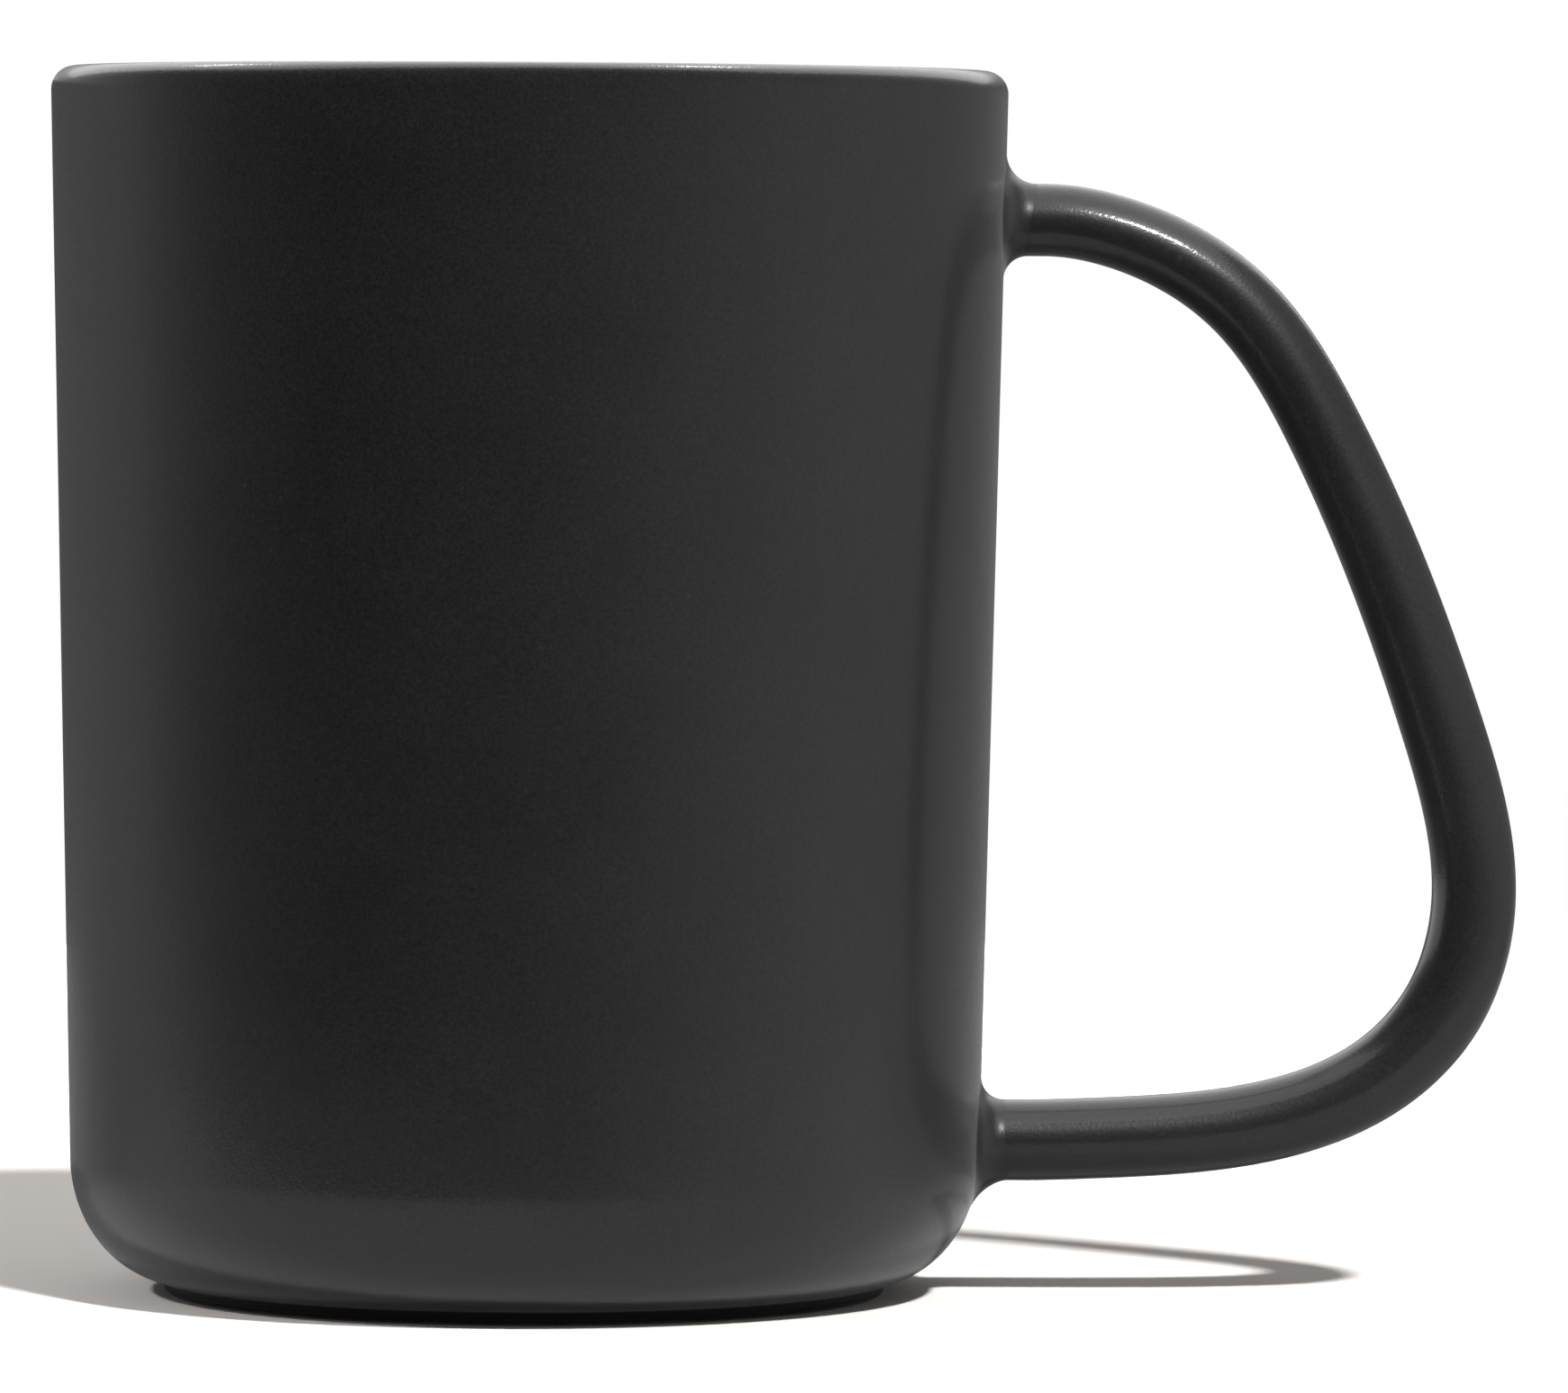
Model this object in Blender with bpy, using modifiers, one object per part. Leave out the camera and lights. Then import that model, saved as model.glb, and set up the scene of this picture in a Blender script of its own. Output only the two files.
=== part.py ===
"""A slip-cast stoneware mug with a bent, round-section loop handle.

The cup is one casting: wall, floor, rounded heel and foot ring. The handle is a second
casting, and a collar of slip joins each of its ends to the wall. Metres, +Z up. The origin
is under the middle of the whole mug, handle included, on the plane that it stands on.
"""

import math

import bmesh
import bpy
import numpy as np
from mathutils import Vector

# Cup
CUP_HEIGHT = 0.110
RIM_RADIUS = 0.0429
WALL_THICKNESS = 0.0042
WALL_TAPER = 0.0020          # radius that the outside loses from the rim to the top of the heel
HEEL_HEIGHT = 0.0123         # where the wall starts to turn in, above the standing plane
HEEL_ROUND_WIDTH = 0.0094    # how far in the heel's quarter ellipse runs
FLOOR_THICKNESS = 0.0050     # between the recess underneath and the inside of the cup
INNER_CORNER_RADIUS = 0.0080

# Foot ring
FOOT_HEIGHT = 0.0011         # standing plane to the lowest point of the heel's ellipse
FOOT_MARGIN = 0.0015         # from the ellipse's centre out to where the ring takes over
FOOT_DRAFT = 0.0006          # the ring narrows by this much towards its contact edge
FOOT_EDGE_RADIUS = 0.0006
FOOT_FACE_WIDTH = 0.0034     # the flat band that touches the table
RECESS_DEPTH = 0.0018
RECESS_SLOPE = 0.0016        # the ring's inner side leans in by this much

# Handle
UPPER_ROOT_DROP = 0.0133     # rim to the bar's axis
LOWER_ROOT_HEIGHT = 0.0139   # standing plane to the bar's axis
HANDLE_REACH = 0.0424        # rim radius to the bar's axis at its furthest
ROOT_LEAD = 0.0015           # straight and level at each end, square to its end face
UPPER_BAR_DIAMETER = 0.0065
BELLY_BAR_DIAMETER = 0.0076
LOWER_BAR_DIAMETER = 0.0073

# The loop between its two roots, as shares of the reach (outwards) and of the height
# between the roots (upwards): shoulder, long straight run, tight belly, flat return.
LOOP = (
    (0.221, 0.989),
    (0.488, 0.914),
    (0.672, 0.777),
    (0.791, 0.646),
    (0.925, 0.460),
    (0.998, 0.248),
    (0.938, 0.148),
    (0.847, 0.091),
    (0.178, 0.002),
)
BELLY_STATIONS = (6, 7)      # the thickest stretch, counted along the loop from its upper root

# Slip collars
OUTER_FILLET = 0.0028        # on the outside of the loop
INNER_FILLET = 0.0021        # in the finger gap
SLIP_THICKNESS = 0.0006      # between the wall and the handle's end face

FIT_GAP = 0.0003             # between pieces that touch

# Fineness
TURN_STEPS = 64
LIP_STEPS = 8
HEEL_STEPS = 7
CORNER_STEPS = 5
EDGE_STEPS = 3
HANDLE_STEPS = 44
BAR_BEVEL = 6
COLLAR_SIDES = 32
FILLET_STEPS = 5
FILLET_TENSION = 0.5523      # makes a cubic with a square corner follow a quarter circle
SMOOTH_ANGLE = math.radians(35)

LIP_RADIUS = WALL_THICKNESS / 2
LIP_HEIGHT = CUP_HEIGHT - LIP_RADIUS
HEEL_TOP_RADIUS = RIM_RADIUS - WALL_TAPER
HEEL_CENTRE_RADIUS = HEEL_TOP_RADIUS - HEEL_ROUND_WIDTH
HEEL_ROUND_DEPTH = HEEL_HEIGHT - FOOT_HEIGHT
FOOT_RADIUS = HEEL_CENTRE_RADIUS + FOOT_MARGIN
UPPER_ROOT_HEIGHT = CUP_HEIGHT - UPPER_ROOT_DROP
HANDLE_SEAT = FIT_GAP + SLIP_THICKNESS + FIT_GAP
FLOOR_TOP = RECESS_DEPTH + FLOOR_THICKNESS


def clear_scene():
    for leftover in list(bpy.data.objects):
        bpy.data.objects.remove(leftover, do_unlink=True)


def new_collection(name):
    collection = bpy.data.collections.new(name)
    bpy.context.scene.collection.children.link(collection)
    return collection


def glaze(name, colour, roughness):
    material = bpy.data.materials.new(name)
    material.use_nodes = True
    shader = material.node_tree.nodes["Principled BSDF"]
    shader.inputs["Base Color"].default_value = (*colour, 1.0)
    shader.inputs["Roughness"].default_value = roughness
    shader.inputs["Metallic"].default_value = 0.0
    material.diffuse_color = (*colour, 1.0)
    return material


def add_object(name, data, collection, material=None):
    part = bpy.data.objects.new(name, data)
    collection.objects.link(part)
    if material is not None:
        data.materials.append(material)
    return part


def arc(centre_r, centre_z, half_r, half_z, start, end, steps):
    """Points along an ellipse's arc, from one angle to the other, both ends included."""
    angles = np.linspace(start, end, steps + 1)
    return [(centre_r + half_r * math.cos(a), centre_z + half_z * math.sin(a)) for a in angles]


def turned(name, profile, collection, material=None):
    """A solid of revolution about Z from a profile that starts and ends on the axis."""
    mesh = bpy.data.meshes.new(name)
    vertices = [(r, 0.0, z) for r, z in profile]
    mesh.from_pydata(vertices, [(i, i + 1) for i in range(len(vertices) - 1)], [])
    part = add_object(name, mesh, collection, material)
    screw = part.modifiers.new("turn", "SCREW")
    screw.axis = "Z"
    screw.angle = math.tau
    screw.steps = TURN_STEPS
    screw.render_steps = TURN_STEPS
    screw.use_merge_vertices = True
    screw.merge_threshold = 0.00001
    screw.use_smooth_shade = True
    return part


def wall_radius(height):
    """Outside radius of the cup, on the straight taper and down round the heel."""
    if height >= HEEL_HEIGHT:
        return RIM_RADIUS - WALL_TAPER * (LIP_HEIGHT - height) / (LIP_HEIGHT - HEEL_HEIGHT)
    sine = (HEEL_HEIGHT - height) / HEEL_ROUND_DEPTH
    return HEEL_CENTRE_RADIUS + HEEL_ROUND_WIDTH * math.sqrt(1.0 - sine * sine)


def heel_curve(grow=0.0):
    """The heel, from the top of its round to where it runs into the foot ring."""
    half_width = HEEL_ROUND_WIDTH + grow
    half_depth = HEEL_ROUND_DEPTH + grow
    last = -math.acos(FOOT_MARGIN / half_width)
    return arc(HEEL_CENTRE_RADIUS, HEEL_HEIGHT, half_width, half_depth, 0.0, last, HEEL_STEPS)


def cup_profile():
    inner_wall_top = RIM_RADIUS - WALL_THICKNESS
    corner_height = FLOOR_TOP + INNER_CORNER_RADIUS
    inner_wall_low = wall_radius(corner_height) - WALL_THICKNESS
    corner_centre = inner_wall_low - INNER_CORNER_RADIUS
    contact_radius = FOOT_RADIUS - FOOT_DRAFT
    edge_centre = contact_radius - FOOT_EDGE_RADIUS
    face_inner = edge_centre - FOOT_FACE_WIDTH
    quarter = math.pi / 2

    inside = [(0.0, FLOOR_TOP)]
    inside += arc(
        corner_centre, corner_height, INNER_CORNER_RADIUS, INNER_CORNER_RADIUS,
        -quarter, 0.0, CORNER_STEPS,
    )
    lip = arc(
        inner_wall_top + LIP_RADIUS, LIP_HEIGHT, LIP_RADIUS, LIP_RADIUS, math.pi, 0.0, LIP_STEPS
    )
    foot = arc(
        edge_centre, FOOT_EDGE_RADIUS, FOOT_EDGE_RADIUS, FOOT_EDGE_RADIUS,
        0.0, -quarter, EDGE_STEPS,
    )
    underside = [
        (face_inner, 0.0),
        (face_inner - RECESS_SLOPE, RECESS_DEPTH),
        (0.0, RECESS_DEPTH),
    ]
    return inside + lip + heel_curve() + foot + underside


def make_cup_body(collection, material):
    return turned("cup_body", cup_profile(), collection, material)


def make_cup_clearance(collection):
    """The outside of the cup, grown by the fit gap, as one solid that trims what meets the wall."""
    rim = RIM_RADIUS + FIT_GAP
    profile = [(0.0, CUP_HEIGHT), (rim, CUP_HEIGHT), (rim, LIP_HEIGHT)]
    profile += heel_curve(FIT_GAP)
    profile += [(0.0, profile[-1][1])]
    return as_cutter(turned("cup_clearance", profile, collection))


def as_cutter(part):
    part.hide_render = True
    part.display_type = "WIRE"
    return part


def clamped_spline(knots, start_slope, end_slope, count):
    """Points on the smoothest cubic through the knots, with set directions at both ends."""
    knots = np.array(knots, float)
    along = np.concatenate([[0.0], np.cumsum(np.linalg.norm(np.diff(knots[:, :2], axis=0), axis=1))])
    steps = np.diff(along)
    size = len(knots)
    system = np.zeros((size, size))
    wanted = np.zeros_like(knots)
    system[0, 0] = 1.0
    system[-1, -1] = 1.0
    wanted[0] = start_slope
    wanted[-1] = end_slope
    for i in range(1, size - 1):
        before, after = steps[i - 1], steps[i]
        system[i, i - 1:i + 2] = after, 2.0 * (before + after), before
        rise_before = (knots[i] - knots[i - 1]) / before
        rise_after = (knots[i + 1] - knots[i]) / after
        wanted[i] = 3.0 * (after * rise_before + before * rise_after)
    slopes = np.linalg.solve(system, wanted)

    points = []
    for place in np.linspace(0.0, along[-1], count):
        i = min(int(np.searchsorted(along, place, side="right")) - 1, size - 2)
        width = steps[i]
        t = (place - along[i]) / width
        points.append(
            (1 + 2 * t) * (1 - t) ** 2 * knots[i]
            + t * (1 - t) ** 2 * width * slopes[i]
            + t * t * (3 - 2 * t) * knots[i + 1]
            + t * t * (t - 1) * width * slopes[i + 1]
        )
    return np.array(points)


def handle_path():
    """Rows of distance from the cup's axis, height and bar radius, from wall seat to wall seat."""
    span = UPPER_ROOT_HEIGHT - LOWER_ROOT_HEIGHT
    upper_seat = wall_radius(UPPER_ROOT_HEIGHT) + HANDLE_SEAT
    lower_seat = wall_radius(LOWER_ROOT_HEIGHT) + HANDLE_SEAT
    places = [(upper_seat + ROOT_LEAD, UPPER_ROOT_HEIGHT)]
    places += [
        (RIM_RADIUS + out * HANDLE_REACH, LOWER_ROOT_HEIGHT + up * span) for out, up in LOOP
    ]
    places += [(lower_seat + ROOT_LEAD, LOWER_ROOT_HEIGHT)]
    last_station = len(places) - 1
    diameters = np.interp(
        range(len(places)),
        (0, 1, *BELLY_STATIONS, last_station - 1, last_station),
        2 * (UPPER_BAR_DIAMETER,) + 2 * (BELLY_BAR_DIAMETER,) + 2 * (LOWER_BAR_DIAMETER,),
    )
    knots = [(x, z, d / 2) for (x, z), d in zip(places, diameters)]
    bend = clamped_spline(knots, (1.0, 0.0, 0.0), (-1.0, 0.0, 0.0), HANDLE_STEPS)
    first = (upper_seat, UPPER_ROOT_HEIGHT, UPPER_BAR_DIAMETER / 2)
    last = (lower_seat, LOWER_ROOT_HEIGHT, LOWER_BAR_DIAMETER / 2)
    return [first, *bend, last]


def make_handle(path, collection, material):
    curve = bpy.data.curves.new("handle", "CURVE")
    curve.dimensions = "3D"
    curve.bevel_depth = 1.0
    curve.bevel_resolution = BAR_BEVEL
    curve.use_fill_caps = True
    spline = curve.splines.new("POLY")
    spline.points.add(len(path) - 1)
    for point, (x, z, radius) in zip(spline.points, path):
        point.co = (x, 0.0, z, 1.0)
        point.radius = radius
    return add_object("handle", curve, collection, material)


def wall_point(axis_height, angle, distance):
    """Where the wall lies at this distance from the bar's axis, going round it by the angle."""
    side = distance * math.cos(angle)
    height = axis_height + distance * math.sin(angle)
    return Vector((math.sqrt(wall_radius(height) ** 2 - side * side), side, height))


def fillet_line(axis_height, bar_radius, angle, fillet):
    """One line of the fillet, tangent to the wall at its start and to the bar at its end."""
    probe = 0.00002
    foot = bar_radius + fillet
    start = wall_point(axis_height, angle, foot)
    slope = (start - wall_point(axis_height, angle, foot - probe)) / probe
    corner = start - slope * fillet
    root = wall_point(axis_height, angle, bar_radius)
    end = Vector((root.x + fillet, root.y, root.z))
    first = start.lerp(corner, FILLET_TENSION)
    second = end.lerp(corner, FILLET_TENSION)
    line = []
    for step in range(FILLET_STEPS + 1):
        t = step / FILLET_STEPS
        line.append(
            (1 - t) ** 3 * start
            + 3 * t * (1 - t) ** 2 * first
            + 3 * t * t * (1 - t) * second
            + t ** 3 * end
        )
    return line


def lofted(name, rings, collection, material=None):
    """A closed solid skinned over rings of equal length, with a flat face across each end."""
    shape = bmesh.new()
    loops = [[shape.verts.new(point) for point in ring] for ring in rings]
    for loop, following in zip(loops, loops[1:]):
        for i in range(len(loop)):
            j = (i + 1) % len(loop)
            shape.faces.new((loop[i], loop[j], following[j], following[i]))
    shape.faces.new(loops[0][::-1])
    shape.faces.new(loops[-1])
    bmesh.ops.recalc_face_normals(shape, faces=shape.faces)
    mesh = bpy.data.meshes.new(name)
    shape.to_mesh(mesh)
    shape.free()
    return add_object(name, mesh, collection, material)


def cut(part, cutter, name):
    boolean = part.modifiers.new(name, "BOOLEAN")
    boolean.operation = "DIFFERENCE"
    boolean.solver = "EXACT"
    boolean.object = cutter


def make_slip_joint(name, axis_height, bar_radius, outward, collections, clearance, material):
    """The collar round one end of the handle, with a socket that the end seats in.

    outward is +1 where up is the outside of the loop, and -1 where down is.
    """
    parts, cutters = collections
    middle = (OUTER_FILLET + INNER_FILLET) / 2
    half_range = (OUTER_FILLET - INNER_FILLET) / 2
    lines = []
    for i in range(COLLAR_SIDES):
        angle = math.tau * (i + 0.5) / COLLAR_SIDES
        fillet = middle + outward * half_range * math.sin(angle)
        lines.append(fillet_line(axis_height, bar_radius, angle, fillet))
    tail_x = min(line[0].x for line in lines) - OUTER_FILLET
    tail = [Vector((tail_x, line[0].y, line[0].z)) for line in lines]
    rings = [tail] + [[line[i] for line in lines] for i in range(FILLET_STEPS + 1)]
    collar = lofted(name, rings, parts, material)

    seat_x = wall_radius(axis_height) + FIT_GAP + SLIP_THICKNESS
    socket_length = 2 * OUTER_FILLET
    bpy.ops.mesh.primitive_cylinder_add(
        vertices=COLLAR_SIDES, radius=bar_radius + FIT_GAP, depth=socket_length
    )
    socket = bpy.context.object
    socket.name = name + "_socket"
    socket.rotation_euler = (0.0, math.radians(90), 0.0)
    socket.location = (seat_x + socket_length / 2, 0.0, axis_height)
    for collection in list(socket.users_collection):
        collection.objects.unlink(socket)
    cutters.objects.link(as_cutter(socket))

    cut(collar, clearance, "trim_to_wall")
    cut(collar, socket, "seat_for_handle")
    return collar


def main():
    clear_scene()
    parts = new_collection("ceramic_mug")
    cutters = new_collection("cutters")
    body_glaze = glaze("black_satin_glaze_body", (0.021, 0.021, 0.022), 0.42)
    handle_glaze = glaze("black_satin_glaze_handle", (0.022, 0.022, 0.023), 0.40)
    joint_glaze = glaze("black_satin_glaze_joints", (0.024, 0.024, 0.025), 0.44)

    path = handle_path()
    outermost = max(x + radius for x, z, radius in path)
    centre = bpy.data.objects.new("cup_axis", None)
    parts.objects.link(centre)
    centre.location = ((RIM_RADIUS - outermost) / 2, 0.0, 0.0)

    body = make_cup_body(parts, body_glaze)
    clearance = make_cup_clearance(cutters)
    handle = make_handle(path, parts, handle_glaze)
    upper = make_slip_joint(
        "upper_slip_joint", UPPER_ROOT_HEIGHT, UPPER_BAR_DIAMETER / 2, 1,
        (parts, cutters), clearance, joint_glaze,
    )
    lower = make_slip_joint(
        "lower_slip_joint", LOWER_ROOT_HEIGHT, LOWER_BAR_DIAMETER / 2, -1,
        (parts, cutters), clearance, joint_glaze,
    )
    for collar in (upper, lower):
        collar.data.shade_smooth()
        collar.data.set_sharp_from_angle(angle=SMOOTH_ANGLE)

    for part in (body, handle, upper, lower, *cutters.objects):
        part.parent = centre


main()
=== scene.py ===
"""The finished look of a slip-cast stoneware mug in a satin black glaze.

Four closed pieces stand for the four solids of the CAD model: the cup, the handle and the two
slip joints, whose fillets run tangent into the wall and into the bar. The overall sizes come
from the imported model, and the rest are the mug's own dimensions, in metres, +Z up.
"""

import math

import bpy
import numpy as np
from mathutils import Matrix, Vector


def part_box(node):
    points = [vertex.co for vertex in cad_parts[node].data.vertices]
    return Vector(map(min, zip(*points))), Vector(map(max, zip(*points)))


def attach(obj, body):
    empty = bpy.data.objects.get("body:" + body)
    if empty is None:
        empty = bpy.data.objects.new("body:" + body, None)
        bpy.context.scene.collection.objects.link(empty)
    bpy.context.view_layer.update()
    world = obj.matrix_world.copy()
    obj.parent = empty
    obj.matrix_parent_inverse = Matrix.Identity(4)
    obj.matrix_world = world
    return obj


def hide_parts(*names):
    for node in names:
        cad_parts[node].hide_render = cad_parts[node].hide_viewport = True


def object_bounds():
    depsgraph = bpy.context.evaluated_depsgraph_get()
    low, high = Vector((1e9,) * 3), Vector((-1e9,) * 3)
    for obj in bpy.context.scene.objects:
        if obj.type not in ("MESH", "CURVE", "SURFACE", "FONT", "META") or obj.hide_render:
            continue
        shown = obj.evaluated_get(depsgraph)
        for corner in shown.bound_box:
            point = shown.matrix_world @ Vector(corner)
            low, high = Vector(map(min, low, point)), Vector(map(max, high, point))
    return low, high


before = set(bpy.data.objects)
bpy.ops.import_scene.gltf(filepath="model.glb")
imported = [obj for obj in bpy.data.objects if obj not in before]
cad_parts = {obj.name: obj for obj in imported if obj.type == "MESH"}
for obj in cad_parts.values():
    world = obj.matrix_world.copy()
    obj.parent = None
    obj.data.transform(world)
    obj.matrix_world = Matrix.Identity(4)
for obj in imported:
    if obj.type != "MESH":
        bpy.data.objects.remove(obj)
cad_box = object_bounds()

CUP_LOW, CUP_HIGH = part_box("cup_body")
AXIS_X = (CUP_LOW.x + CUP_HIGH.x) / 2
RIM_RADIUS = (CUP_HIGH.y - CUP_LOW.y) / 2
CUP_HEIGHT = CUP_HIGH.z

# Cup
WALL_THICKNESS = 0.0042
WALL_TAPER = 0.0020
HEEL_HEIGHT = 0.0123
HEEL_ROUND_WIDTH = 0.0094
FLOOR_THICKNESS = 0.0050
INNER_CORNER_RADIUS = 0.0080
FOOT_HEIGHT = 0.0011
FOOT_MARGIN = 0.0015
FOOT_DRAFT = 0.0006
FOOT_EDGE_RADIUS = 0.0006
FOOT_FACE_WIDTH = 0.0034
RECESS_DEPTH = 0.0018
RECESS_SLOPE = 0.0016
RECESS_ROUND = 0.0004         # the glaze rounds the recess's edges

# Handle
UPPER_ROOT_DROP = 0.0133
LOWER_ROOT_HEIGHT = 0.0139
HANDLE_REACH = 0.04235
HANDLE_SEAT = 0.0012          # wall to the handle's end face
ROOT_LEAD = 0.0024            # straight as far as the joint reaches
END_RING = 0.0001             # keeps the end face's edge out of the bar's shading
UPPER_BAR_DIAMETER = 0.0065
BELLY_BAR_DIAMETER = 0.0076
LOWER_BAR_DIAMETER = 0.0073
LOOP = (
    (0.221, 0.989),
    (0.488, 0.914),
    (0.672, 0.777),
    (0.791, 0.646),
    (0.925, 0.460),
    (0.998, 0.248),
    (0.938, 0.148),
    (0.847, 0.091),
    (0.178, 0.002),
)
BELLY_STATIONS = (6, 7)

# Slip joints
OUTER_FILLET = 0.0028
INNER_FILLET = 0.0021
FILLET_TENSION = 0.5523       # makes a cubic with a square corner follow a quarter circle
TUCKS = ((0.00015, 0.000001), (0.00045, 0.000012), (0.0008, 0.00005))   # past, below
PLUG_DEPTH = 0.0012           # how far the joint's hidden core reaches into the wall

# Fineness
TURN_STEPS = 360
BAR_SIDES = 96
BAR_STATIONS = 520
FILLET_STEPS = 30
FLOOR_STEPS = 14              # the cup's profile, from the inside round to the underside
CORNER_STEPS = 18
INNER_WALL_STEPS = 24
LIP_STEPS = 36
OUTER_WALL_STEPS = 30
HEEL_STEPS = 30
FOOT_SIDE_STEPS = 4
FOOT_EDGE_STEPS = 10
FOOT_FACE_STEPS = 5
RECESS_ROUND_STEPS = 5
RECESS_STEPS = 12

LIP_RADIUS = WALL_THICKNESS / 2
LIP_HEIGHT = CUP_HEIGHT - LIP_RADIUS
HEEL_TOP_RADIUS = RIM_RADIUS - WALL_TAPER
HEEL_CENTRE_RADIUS = HEEL_TOP_RADIUS - HEEL_ROUND_WIDTH
HEEL_ROUND_DEPTH = HEEL_HEIGHT - FOOT_HEIGHT
FOOT_RADIUS = HEEL_CENTRE_RADIUS + FOOT_MARGIN
FLOOR_TOP = RECESS_DEPTH + FLOOR_THICKNESS
UPPER_ROOT_HEIGHT = CUP_HEIGHT - UPPER_ROOT_DROP

# Glaze
GLAZE_COLOUR = (0.0075, 0.0075, 0.0075)
GLAZE_ROUGHNESS = 0.38
GLAZE_SPECULAR = 0.34
GLOSS_LAYER = 0.40            # the thin glassy skin over the satin
GLOSS_ROUGHNESS = 0.125
JOINT_SPECULAR = 0.52         # the worked slip has no glassy skin
SHEEN = 0.14                  # the matt surface scatters more at glancing angles
SHEEN_ROUGHNESS = 0.35
GLAZE_IOR = 1.5
CLOUD_SIZE = 0.012            # the sizes of the noises' features
WAVE_SIZE = 0.0022
SPECK_SIZE = 0.0005
GRAIN_SIZE = 0.00028
WAVE_RELIEF = 0.0000045
GRAIN_RELIEF = 0.000013
MOST_NOISE = (0.3, 0.7)       # most of a noise lies between these
CLOUD_SHADES = (0.86, 1.14)
GRAIN_SHADES = (0.68, 1.32)
LIGHT_SPECKS = (0.66, 0.80)   # where a speck starts and is full
CENTRAL_NOISE = (0.35, 0.65)
GLOSS_CLOUDS = 0.012
GLOSS_SPECKS = 0.02
BARE_HEIGHTS = (0.00016, 0.00024)   # all clay below, all glaze above
BARE_EDGE_SIZE = 0.0012
BARE_EDGE_HEIGHT = 0.00006
CLAY_SHADES = (0.75, 1.25)
CLAY_COLOUR = (0.085, 0.078, 0.071)
CLAY_ROUGHNESS = 0.85

# Studio. Angles are in degrees, and azimuth 0 is towards the camera and 90 is to its right.
# Glows are soft pools of light on its walls: azimuth, elevation, radiance, sharpness.
GLOWS = (
    (74, 0, 0.62, 2.3),
    (-112, 0, 0.38, 6.5),
)
STUDIO_BASE = 0.02
AMBIENT = 0.34                # what the floor gets from all round

# Softboxes are rectangles of light: azimuth, elevation and distance of the middle, width,
# height, radiance.
SOFTBOXES = {
    "overhead": (0, 131, 1.6, 2.4, 2.1, 1.9),
    "bar_top": (0, 74, 1.6, 2.4, 1.45, 1.8),
    "front_strip": (21, 38, 1.6, 0.24, 0.07, 330.0),
    "rim_right": (162, 57, 1.6, 0.12, 0.05, 120.0),
    "rim_left": (-152, 44, 1.6, 0.25, 0.05, 30.0),
    "back_left": (-118, -22, 1.6, 2.1, 2.4, 1.2),
    "joint_side": (110, 5, 1.6, 2.2, 1.6, 0.40),
}

# Lamps far away that light the floor and cast the shadows: azimuth, elevation, spread, strength.
LAMPS = {
    "key": (29, 48.6, 4.5, 4.7),
    "fill": (-60, 40, 5.0, 1.35),
}

# Softboxes that shine on these pieces only, and that only these pieces block.
JOINT_PIECES = ("mug_upper_joint", "mug_lower_joint")
ONLY_ON = {
    "front_strip": ("mug_handle", *JOINT_PIECES),
    "bar_top": ("mug_handle", *JOINT_PIECES),
    "back_left": ("mug_handle", *JOINT_PIECES),
    "joint_side": JOINT_PIECES,
    "rim_right": ("mug_cup",),
    "rim_left": ("mug_cup",),
}

# Floor
FLOOR_RADIUS = 0.30
FLOOR_BACK = 0.19             # the floor's middle lies this far behind the mug
FLOOR_COLOUR = (0.84, 0.80, 0.77)
# In the mug's reflections the floor has a painted pool of light in front, fading to painted shade
# behind.
FLOOR_POOL_GREY = 0.42             # in front of the mug, as the mug reflects it: a painted pool of light
FLOOR_SHADE_GREY = 0.16
FLOOR_POOL_FADE = (-0.02, 0.05)
FLOOR_SIDES = 96
FLOOR_ROUGHNESS = 0.9
FLOOR_DROP = 0.00001          # keeps its face off the foot's

# Camera
CAMERA_PLACE = (0.0, -0.9895, 0.0957)
CAMERA_PITCH = -0.04237       # below level
CAMERA_ROLL = 0.00603
CAMERA_LENS = 252.85
SENSOR_WIDTH = 36.0


def arc(centre_r, centre_z, half_r, half_z, start, end, steps):
    """Points along an ellipse's arc, from one angle to the other, both ends included."""
    angles = np.linspace(start, end, steps + 1)
    return [(centre_r + half_r * math.cos(a), centre_z + half_z * math.sin(a)) for a in angles]


def line(start, end, steps):
    """Points between two others along a straight line, without either of them."""
    (x, z), (to_x, to_z) = start, end
    shares = [i / steps for i in range(1, steps)]
    return [(x + s * (to_x - x), z + s * (to_z - z)) for s in shares]


def rounded(before, corner, after, radius, steps):
    """A corner eased with a quadratic curve that starts and ends this far from it."""
    before, corner, after = Vector(before), Vector(corner), Vector(after)
    start = corner + (before - corner).normalized() * radius
    end = corner + (after - corner).normalized() * radius
    points = []
    for i in range(steps + 1):
        t = i / steps
        points.append(tuple((1 - t) ** 2 * start + 2 * t * (1 - t) * corner + t * t * end))
    return points


def wall_radius(height):
    """Outside radius of the cup, on the straight taper and down round the heel."""
    if height >= HEEL_HEIGHT:
        return RIM_RADIUS - WALL_TAPER * (LIP_HEIGHT - height) / (LIP_HEIGHT - HEEL_HEIGHT)
    sine = (HEEL_HEIGHT - height) / HEEL_ROUND_DEPTH
    return HEEL_CENTRE_RADIUS + HEEL_ROUND_WIDTH * math.sqrt(1.0 - sine * sine)


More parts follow.
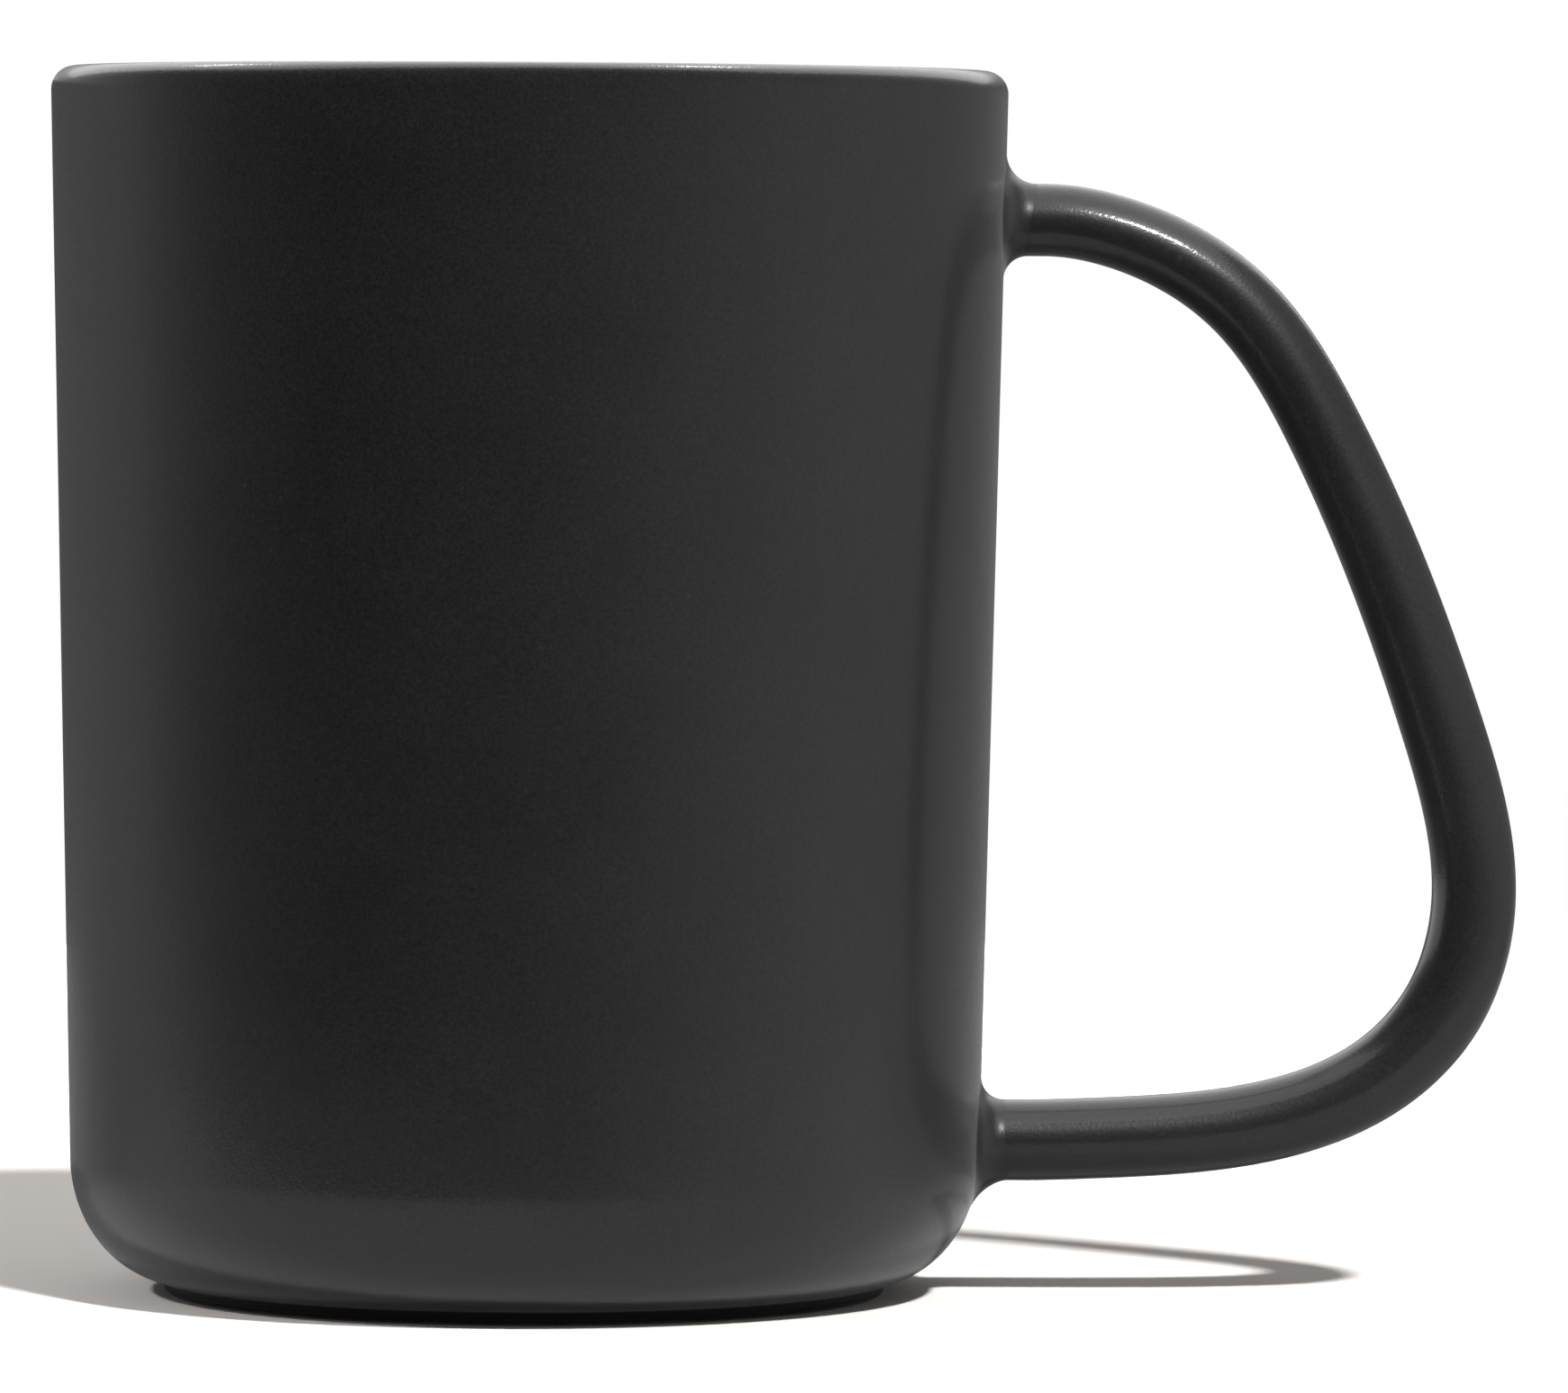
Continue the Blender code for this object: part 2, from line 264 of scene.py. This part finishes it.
def cup_profile():
    """Radius and height from the middle of the cup's floor, over the lip, to the underside."""
    quarter = math.pi / 2
    inner_top = RIM_RADIUS - WALL_THICKNESS
    corner_height = FLOOR_TOP + INNER_CORNER_RADIUS
    inner_low = wall_radius(corner_height) - WALL_THICKNESS
    corner_centre = inner_low - INNER_CORNER_RADIUS
    edge_centre = FOOT_RADIUS - FOOT_DRAFT - FOOT_EDGE_RADIUS
    face_inner = edge_centre - FOOT_FACE_WIDTH
    heel_end = -math.acos(FOOT_MARGIN / HEEL_ROUND_WIDTH)

    corner = arc(
        corner_centre, corner_height, INNER_CORNER_RADIUS, INNER_CORNER_RADIUS,
        -quarter, 0.0, CORNER_STEPS,
    )
    lip = arc(
        inner_top + LIP_RADIUS, LIP_HEIGHT, LIP_RADIUS, LIP_RADIUS, math.pi, 0.0, LIP_STEPS
    )
    heel = arc(
        HEEL_CENTRE_RADIUS, HEEL_HEIGHT, HEEL_ROUND_WIDTH, HEEL_ROUND_DEPTH,
        0.0, heel_end, HEEL_STEPS,
    )
    foot = arc(
        edge_centre, FOOT_EDGE_RADIUS, FOOT_EDGE_RADIUS, FOOT_EDGE_RADIUS,
        0.0, -quarter, FOOT_EDGE_STEPS,
    )
    recess_low = (face_inner, 0.0)
    recess_top = (face_inner - RECESS_SLOPE, RECESS_DEPTH)
    centre_below = (0.0, RECESS_DEPTH)
    centre_above = (0.0, FLOOR_TOP)

    profile = [centre_above] + line(centre_above, corner[0], FLOOR_STEPS) + corner
    profile += line(corner[-1], lip[0], INNER_WALL_STEPS) + lip
    profile += line(lip[-1], heel[0], OUTER_WALL_STEPS) + heel
    profile += line(heel[-1], foot[0], FOOT_SIDE_STEPS) + foot
    profile += line(foot[-1], recess_low, FOOT_FACE_STEPS)
    profile += rounded(foot[-1], recess_low, recess_top, RECESS_ROUND, RECESS_ROUND_STEPS)
    profile += rounded(recess_low, recess_top, centre_below, RECESS_ROUND, RECESS_ROUND_STEPS)
    profile += line(recess_top, centre_below, RECESS_STEPS)[1:] + [centre_below]
    return profile


def clamped_spline(knots, start_slope, end_slope, count):
    """Points on the smoothest cubic through the knots, with set directions at both ends."""
    knots = np.array(knots, float)
    lengths = np.linalg.norm(np.diff(knots[:, :2], axis=0), axis=1)
    along = np.concatenate([[0.0], np.cumsum(lengths)])
    steps = np.diff(along)
    size = len(knots)
    system = np.zeros((size, size))
    wanted = np.zeros_like(knots)
    system[0, 0] = 1.0
    system[-1, -1] = 1.0
    wanted[0] = start_slope
    wanted[-1] = end_slope
    for i in range(1, size - 1):
        before, after = steps[i - 1], steps[i]
        system[i, i - 1:i + 2] = after, 2.0 * (before + after), before
        rise_before = (knots[i] - knots[i - 1]) / before
        rise_after = (knots[i + 1] - knots[i]) / after
        wanted[i] = 3.0 * (after * rise_before + before * rise_after)
    slopes = np.linalg.solve(system, wanted)

    points = []
    for place in np.linspace(0.0, along[-1], count):
        i = min(int(np.searchsorted(along, place, side="right")) - 1, size - 2)
        width = steps[i]
        t = (place - along[i]) / width
        points.append(
            (1 + 2 * t) * (1 - t) ** 2 * knots[i]
            + t * (1 - t) ** 2 * width * slopes[i]
            + t * t * (3 - 2 * t) * knots[i + 1]
            + t * t * (t - 1) * width * slopes[i + 1]
        )
    return np.array(points)


def handle_path():
    """Rows of distance from the cup's axis, height and bar radius, from wall seat to wall seat."""
    span = UPPER_ROOT_HEIGHT - LOWER_ROOT_HEIGHT
    upper_seat = wall_radius(UPPER_ROOT_HEIGHT) + HANDLE_SEAT
    lower_seat = wall_radius(LOWER_ROOT_HEIGHT) + HANDLE_SEAT
    places = [(upper_seat + ROOT_LEAD, UPPER_ROOT_HEIGHT)]
    places += [
        (RIM_RADIUS + out * HANDLE_REACH, LOWER_ROOT_HEIGHT + up * span) for out, up in LOOP
    ]
    places += [(lower_seat + ROOT_LEAD, LOWER_ROOT_HEIGHT)]
    last_station = len(places) - 1
    diameters = np.interp(
        range(len(places)),
        (0, 1, *BELLY_STATIONS, last_station - 1, last_station),
        2 * (UPPER_BAR_DIAMETER,) + 2 * (BELLY_BAR_DIAMETER,) + 2 * (LOWER_BAR_DIAMETER,),
    )
    knots = [(x, z, d / 2) for (x, z), d in zip(places, diameters)]
    bend = clamped_spline(knots, (1.0, 0.0, 0.0), (-1.0, 0.0, 0.0), BAR_STATIONS)
    half = len(bend) // 2
    bend[:half, 2] = np.maximum(bend[:half, 2], UPPER_BAR_DIAMETER / 2)
    bend[half:, 2] = np.maximum(bend[half:, 2], LOWER_BAR_DIAMETER / 2)
    first = [
        (upper_seat + in_from_end, UPPER_ROOT_HEIGHT, UPPER_BAR_DIAMETER / 2)
        for in_from_end in (0.0, END_RING)
    ]
    last = [
        (lower_seat + in_from_end, LOWER_ROOT_HEIGHT, LOWER_BAR_DIAMETER / 2)
        for in_from_end in (END_RING, 0.0)
    ]
    return np.array([*first, *bend, *last])


def wall_point(axis_height, angle, distance):
    """Where the wall lies at this distance from the bar's axis, going round it by the angle."""
    side = distance * math.cos(angle)
    height = axis_height + distance * math.sin(angle)
    return Vector((math.sqrt(wall_radius(height) ** 2 - side * side), side, height))


def fillet_line(axis_height, bar_radius, angle, fillet):
    """One line of a joint's skin, from its core in the wall, over the fillet, into the bar."""
    probe = 0.00002           # a short step outwards, to find the wall's slope
    foot = bar_radius + fillet
    start = wall_point(axis_height, angle, foot)
    slope = (start - wall_point(axis_height, angle, foot - probe)) / probe
    corner = start - slope * fillet
    root = wall_point(axis_height, angle, bar_radius)
    end = Vector((root.x + fillet, root.y, root.z))
    first = start.lerp(corner, FILLET_TENSION)
    second = end.lerp(corner, FILLET_TENSION)

    outward = Vector((start.x, start.y, 0.0)).normalized()
    radial = Vector((0.0, math.cos(angle), math.sin(angle)))
    along_bar = Vector((1.0, 0.0, 0.0))
    points = [
        wall_point(axis_height, angle, foot + past) - outward * depth
        for past, depth in ((TUCKS[-1][0], PLUG_DEPTH), *TUCKS[::-1])
    ]
    for i in range(FILLET_STEPS + 1):
        t = i / FILLET_STEPS
        points.append(
            (1 - t) ** 3 * start
            + 3 * t * (1 - t) ** 2 * first
            + 3 * t * t * (1 - t) * second
            + t ** 3 * end
        )
    points += [
        end + along_bar * past - radial * depth
        for past, depth in (*TUCKS, (TUCKS[-1][0], bar_radius / 3))
    ]
    return points


def add_piece(name, vertices, faces, node, material):
    """A smooth closed mesh that stands for a CAD node. Coordinates are from the cup's axis."""
    mesh = bpy.data.meshes.new(name)
    mesh.from_pydata([(x + AXIS_X, y, z) for x, y, z in vertices], [], faces)
    mesh.validate()
    mesh.materials.append(material)
    mesh.shade_smooth()
    piece = bpy.data.objects.new(name, mesh)
    bpy.context.scene.collection.objects.link(piece)
    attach(piece, "root")
    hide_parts(node)


def skin(rings):
    """Vertices and outward faces of a tube over rings of equal length, capped at both ends."""
    size = len(rings[0])
    vertices = [point for ring in rings for point in ring]
    faces = []
    for r in range(len(rings) - 1):
        for i in range(size):
            j = (i + 1) % size
            faces.append((r * size + i, r * size + j, (r + 1) * size + j, (r + 1) * size + i))
    last = (len(rings) - 1) * size
    faces.append(tuple(range(size - 1, -1, -1)))
    faces.append(tuple(range(last, last + size)))
    return vertices, faces


def make_cup(material):
    """The profile turned about the cup's axis, with a fan of triangles at each end."""
    profile = cup_profile()
    above, below = profile[0], profile[-1]
    rings = []
    for radius, height in profile[1:-1]:
        turns = [math.tau * i / TURN_STEPS for i in range(TURN_STEPS)]
        rings.append([(radius * math.cos(a), radius * math.sin(a), height) for a in turns])
    vertices = [point for ring in rings for point in ring]
    faces = []
    for r in range(len(rings) - 1):
        for i in range(TURN_STEPS):
            j = (i + 1) % TURN_STEPS
            a, b = r * TURN_STEPS, (r + 1) * TURN_STEPS
            faces.append((a + i, b + i, b + j, a + j))
    top_centre = len(vertices)
    bottom_centre = top_centre + 1
    vertices += [(0.0, 0.0, above[1]), (0.0, 0.0, below[1])]
    last = (len(rings) - 1) * TURN_STEPS
    for i in range(TURN_STEPS):
        j = (i + 1) % TURN_STEPS
        faces.append((top_centre, i, j))
        faces.append((bottom_centre, last + j, last + i))
    add_piece("mug_cup", vertices, faces, "cup_body", material)


def make_handle(material):
    """A round bar along the handle's path."""
    path = handle_path()
    tangents = np.gradient(path[:, :2], axis=0)
    tangents /= np.linalg.norm(tangents, axis=1)[:, None]
    tangents[0] = (1.0, 0.0)
    tangents[-1] = (-1.0, 0.0)
    angles = [math.tau * (i + 0.5) / BAR_SIDES for i in range(BAR_SIDES)]
    rings = []
    for (x, z, radius), (along_x, along_z) in zip(path, tangents):
        rings.append([
            (
                x - radius * math.sin(a) * along_z,
                radius * math.cos(a),
                z + radius * math.sin(a) * along_x,
            )
            for a in angles
        ])
    vertices, faces = skin(rings)
    add_piece("mug_handle", vertices, faces, "handle", material)


def make_joint(name, axis_height, bar_radius, outward, node, material):
    """A fillet of slip round one end of the bar, deeper on the outside of the loop.

    outward is +1 where up is the outside of the loop, and -1 where down is.
    """
    middle = (OUTER_FILLET + INNER_FILLET) / 2
    half_range = (OUTER_FILLET - INNER_FILLET) / 2
    lines = []
    for i in range(BAR_SIDES):
        angle = math.tau * (i + 0.5) / BAR_SIDES
        fillet = middle + outward * half_range * math.sin(angle)
        lines.append(fillet_line(axis_height, bar_radius, angle, fillet))
    rings = [[points[i] for points in lines] for i in range(len(lines[0]))]
    vertices, faces = skin(rings)
    add_piece(name, vertices, faces, node, material)


# Sockets of a colour Mix node, whose names repeat for each data type.
MIX_FACTOR, MIX_A, MIX_B, MIX_RESULT = 0, 6, 7, 2


class Nodes:
    """Short calls for building a node tree."""

    def __init__(self, tree):
        self.tree = tree

    def add(self, kind, settings=None, **inputs):
        node = self.tree.nodes.new(kind)
        for key, value in (settings or {}).items():
            setattr(node, key, value)
        for key, value in inputs.items():
            self.set(node, key.replace("_", " "), value)
        return node

    def set(self, node, key, value):
        """Link a socket, found by name or number, or set its value."""
        socket = node.inputs[key]
        if isinstance(value, bpy.types.NodeSocket):
            self.tree.links.new(value, socket)
        else:
            socket.default_value = value

    def math(self, operation, *values):
        node = self.tree.nodes.new("ShaderNodeMath")
        node.operation = operation
        for i, value in enumerate(values):
            self.set(node, i, value)
        return node.outputs[0]

    def noise(self, place, size, detail=2.0, roughness=0.5):
        """Noise whose features are about this big, in metres. Its mean is about 0.5."""
        node = self.add("ShaderNodeTexNoise", Scale=1 / size, Detail=detail, Roughness=roughness)
        self.tree.links.new(place, node.inputs["Vector"])
        return node.outputs["Fac"]

    def shaded(self, colour, shade):
        """A constant colour times a shade."""
        node = self.add("ShaderNodeMix", {"data_type": "RGBA", "blend_type": "MULTIPLY"})
        node.inputs[MIX_FACTOR].default_value = 1.0
        node.inputs[MIX_A].default_value = (*colour, 1.0)
        self.tree.links.new(shade, node.inputs[MIX_B])
        return node.outputs[MIX_RESULT]

    def remap(self, value, low, high, to_low, to_high, smooth=False):
        """One range stretched onto another, and held at its ends."""
        node = self.tree.nodes.new("ShaderNodeMapRange")
        node.interpolation_type = "SMOOTHSTEP" if smooth else "LINEAR"
        for i, setting in enumerate((value, low, high, to_low, to_high)):
            self.set(node, i, setting)
        return node.outputs[0]


def glaze(name, bare_foot=False, gloss_layer=GLOSS_LAYER, specular=GLAZE_SPECULAR):
    """Black glaze, satin under an optional glossy layer, with an optional bare clay foot."""
    material = bpy.data.materials.new(name)
    material.use_nodes = True
    tree = material.node_tree
    tree.nodes.clear()
    n = Nodes(tree)
    place = n.add("ShaderNodeTexCoord").outputs["Object"]

    clouds = n.noise(place, CLOUD_SIZE, 3.0)
    grain = n.noise(place, GRAIN_SIZE, 1.0)
    specks = n.noise(place, SPECK_SIZE, 2.0, 0.6)
    wave = n.noise(place, WAVE_SIZE, 1.0)

    shade = n.remap(clouds, *MOST_NOISE, *CLOUD_SHADES)
    light_specks = n.remap(specks, *LIGHT_SPECKS, 0.0, 1.0, True)
    shade = n.math("ADD", shade, light_specks)
    shade = n.math("MULTIPLY", shade, n.remap(grain, *MOST_NOISE, *GRAIN_SHADES))
    colour = n.shaded(GLAZE_COLOUR, shade)

    gloss = n.remap(
        clouds, *MOST_NOISE, GLAZE_ROUGHNESS - GLOSS_CLOUDS, GLAZE_ROUGHNESS + GLOSS_CLOUDS
    )
    speck_gloss = n.remap(specks, *CENTRAL_NOISE, -GLOSS_SPECKS, GLOSS_SPECKS)
    gloss = n.math("ADD", gloss, speck_gloss)

    if bare_foot:
        parts = n.add("ShaderNodeSeparateXYZ")
        tree.links.new(place, parts.inputs[0])
        edge = n.noise(place, BARE_EDGE_SIZE, 3.0)
        ragged = n.remap(edge, *MOST_NOISE, -BARE_EDGE_HEIGHT, BARE_EDGE_HEIGHT)
        height = n.math("ADD", parts.outputs[2], ragged)
        bare = n.remap(height, *BARE_HEIGHTS, 1.0, 0.0, True)
        clay = n.shaded(CLAY_COLOUR, n.remap(specks, *MOST_NOISE, *CLAY_SHADES))
        both = n.add("ShaderNodeMix", {"data_type": "RGBA"})
        tree.links.new(bare, both.inputs[MIX_FACTOR])
        tree.links.new(colour, both.inputs[MIX_A])
        tree.links.new(clay, both.inputs[MIX_B])
        colour = both.outputs[MIX_RESULT]
        gloss = n.remap(bare, 0.0, 1.0, gloss, CLAY_ROUGHNESS)

    soft_wave = n.add("ShaderNodeBump", Strength=1.0, Distance=WAVE_RELIEF, Height=wave)
    fine = n.add("ShaderNodeBump", Strength=1.0, Distance=GRAIN_RELIEF, Height=grain)
    tree.links.new(soft_wave.outputs[0], fine.inputs["Normal"])
    shader = n.add("ShaderNodeBsdfPrincipled", Base_Color=colour, Roughness=gloss, IOR=GLAZE_IOR)
    shader.inputs["Specular IOR Level"].default_value = specular
    shader.inputs["Coat Weight"].default_value = gloss_layer
    shader.inputs["Coat Roughness"].default_value = GLOSS_ROUGHNESS
    shader.inputs["Sheen Weight"].default_value = SHEEN
    shader.inputs["Sheen Roughness"].default_value = SHEEN_ROUGHNESS
    tree.links.new(fine.outputs[0], shader.inputs["Coat Normal"])
    tree.links.new(fine.outputs[0], shader.inputs["Normal"])
    output = n.add("ShaderNodeOutputMaterial")
    tree.links.new(shader.outputs[0], output.inputs["Surface"])
    return material


def direction(azimuth, elevation):
    """A unit vector from two angles in degrees."""
    a, e = math.radians(azimuth), math.radians(elevation)
    return Vector((math.cos(e) * math.sin(a), -math.cos(e) * math.cos(a), math.sin(e)))


def make_world():
    """White behind the mug as the camera sees it, and a dim studio in its reflections."""
    world = bpy.data.worlds.new("studio")
    bpy.context.scene.world = world
    world.use_nodes = True
    tree = world.node_tree
    tree.nodes.clear()
    n = Nodes(tree)
    towards = n.add("ShaderNodeTexCoord").outputs["Generated"]
    total = STUDIO_BASE
    for azimuth, elevation, radiance, sharpness in GLOWS:
        dot = n.add("ShaderNodeVectorMath", {"operation": "DOT_PRODUCT"})
        tree.links.new(towards, dot.inputs[0])
        dot.inputs[1].default_value = direction(azimuth, elevation)
        fall = n.math("MULTIPLY", n.math("SUBTRACT", dot.outputs["Value"], 1.0), sharpness)
        glow = n.math("MULTIPLY", n.math("EXPONENT", fall), radiance)
        total = n.math("ADD", total, glow)
    rays = n.add("ShaderNodeLightPath")
    total = n.remap(rays.outputs["Is Diffuse Ray"], 0.0, 1.0, total, AMBIENT)
    seen = n.add("ShaderNodeBackground", Color=(1.0, 1.0, 1.0, 1.0), Strength=1.0)
    felt = n.add("ShaderNodeBackground", Color=(1.0, 1.0, 1.0, 1.0), Strength=total)
    mix = n.add("ShaderNodeMixShader")
    tree.links.new(rays.outputs["Is Camera Ray"], mix.inputs[0])
    tree.links.new(felt.outputs[0], mix.inputs[1])
    tree.links.new(seen.outputs[0], mix.inputs[2])
    output = n.add("ShaderNodeOutputWorld")
    tree.links.new(mix.outputs[0], output.inputs[0])


def aim(lamp, place, target):
    """Put a lamp at a place and turn it to shine at the target."""
    lamp.location = place
    lamp.rotation_euler = (Vector(target) - Vector(place)).to_track_quat("-Z", "Y").to_euler()


def make_lights(middle):
    """Softboxes that show only in reflections, and lamps that show only in what scatters."""
    for name, (azimuth, elevation, distance, width, height, radiance) in SOFTBOXES.items():
        data = bpy.data.lights.new(name, "AREA")
        data.shape = "RECTANGLE"
        data.size = width
        data.size_y = height
        data.energy = radiance * math.pi * width * height
        lamp = bpy.data.objects.new(name, data)
        bpy.context.scene.collection.objects.link(lamp)
        lamp.visible_camera = False
        lamp.visible_diffuse = False
        aim(lamp, middle + direction(azimuth, elevation) * distance, middle)
        if name in ONLY_ON:
            lit = bpy.data.collections.new(name + "_lit")
            for piece in ONLY_ON[name]:
                lit.objects.link(bpy.data.objects[piece])
            lamp.light_linking.receiver_collection = lit
            lamp.light_linking.blocker_collection = lit
    for name, (azimuth, elevation, spread, strength) in LAMPS.items():
        data = bpy.data.lights.new(name, "SUN")
        data.angle = math.radians(spread)
        data.energy = strength
        lamp = bpy.data.objects.new(name, data)
        bpy.context.scene.collection.objects.link(lamp)
        lamp.visible_glossy = False
        aim(lamp, middle + direction(azimuth, elevation), middle)


def make_floor():
    """A pale disc as the camera sees it, which is darker in the mug's reflections, where a painted
    pool of light in front of the mug fades to painted shade behind it.
    """
    mesh = bpy.data.meshes.new("floor")
    turns = [math.tau * i / FLOOR_SIDES for i in range(FLOOR_SIDES)]
    edge = [
        (FLOOR_RADIUS * math.cos(a), FLOOR_BACK + FLOOR_RADIUS * math.sin(a), 0.0) for a in turns
    ]
    mesh.from_pydata(edge, [], [tuple(range(FLOOR_SIDES))])
    floor = bpy.data.objects.new("floor", mesh)
    bpy.context.scene.collection.objects.link(floor)
    material = bpy.data.materials.new("floor_white")
    material.use_nodes = True
    n = Nodes(material.node_tree)
    shader = material.node_tree.nodes["Principled BSDF"]
    tint = n.add("ShaderNodeMix", {"data_type": "RGBA"})
    parts = n.add("ShaderNodeSeparateXYZ")
    n.tree.links.new(n.add("ShaderNodeTexCoord").outputs["Object"], parts.inputs[0])
    # painted pool of light in front of the mug, fading to painted shade behind it, as the mug
    # reflects the floor
    painted_pool = n.remap(parts.outputs[1], *FLOOR_POOL_FADE, FLOOR_POOL_GREY, FLOOR_SHADE_GREY)
    n.tree.links.new(painted_pool, tint.inputs[MIX_A])
    tint.inputs[MIX_B].default_value = (*FLOOR_COLOUR, 1.0)
    rays = n.add("ShaderNodeLightPath")
    n.tree.links.new(rays.outputs["Is Camera Ray"], tint.inputs[MIX_FACTOR])
    n.tree.links.new(tint.outputs[MIX_RESULT], shader.inputs["Base Color"])
    shader.inputs["Roughness"].default_value = FLOOR_ROUGHNESS
    shader.inputs["Specular IOR Level"].default_value = 0.0
    mesh.materials.append(material)
    floor.location.z = -FLOOR_DROP


def make_camera():
    """The camera looks along +Y, turned by its pitch and roll alone."""
    data = bpy.data.cameras.new("camera")
    data.lens = CAMERA_LENS
    data.sensor_width = SENSOR_WIDTH
    camera = bpy.data.objects.new("camera", data)
    bpy.context.scene.collection.objects.link(camera)
    camera.location = CAMERA_PLACE
    camera.rotation_mode = "ZYX"
    camera.rotation_euler = (math.pi / 2 + CAMERA_PITCH, 0.0, CAMERA_ROLL)
    bpy.context.scene.camera = camera


make_camera()
make_world()
make_floor()
cup_glaze = glaze("satin_black_glaze_cup", bare_foot=True)
bar_glaze = glaze("satin_black_glaze_handle")
joint_glaze = glaze("satin_black_glaze_joints", gloss_layer=0.0, specular=JOINT_SPECULAR)
make_cup(cup_glaze)
make_handle(bar_glaze)
make_joint(
    "mug_upper_joint", UPPER_ROOT_HEIGHT, UPPER_BAR_DIAMETER / 2, 1, "upper_slip_joint",
    joint_glaze,
)
make_joint(
    "mug_lower_joint", LOWER_ROOT_HEIGHT, LOWER_BAR_DIAMETER / 2, -1, "lower_slip_joint",
    joint_glaze,
)
low, high = cad_box
make_lights((Vector(low) + Vector(high)) / 2)
bpy.context.scene.view_settings.view_transform = "Standard"
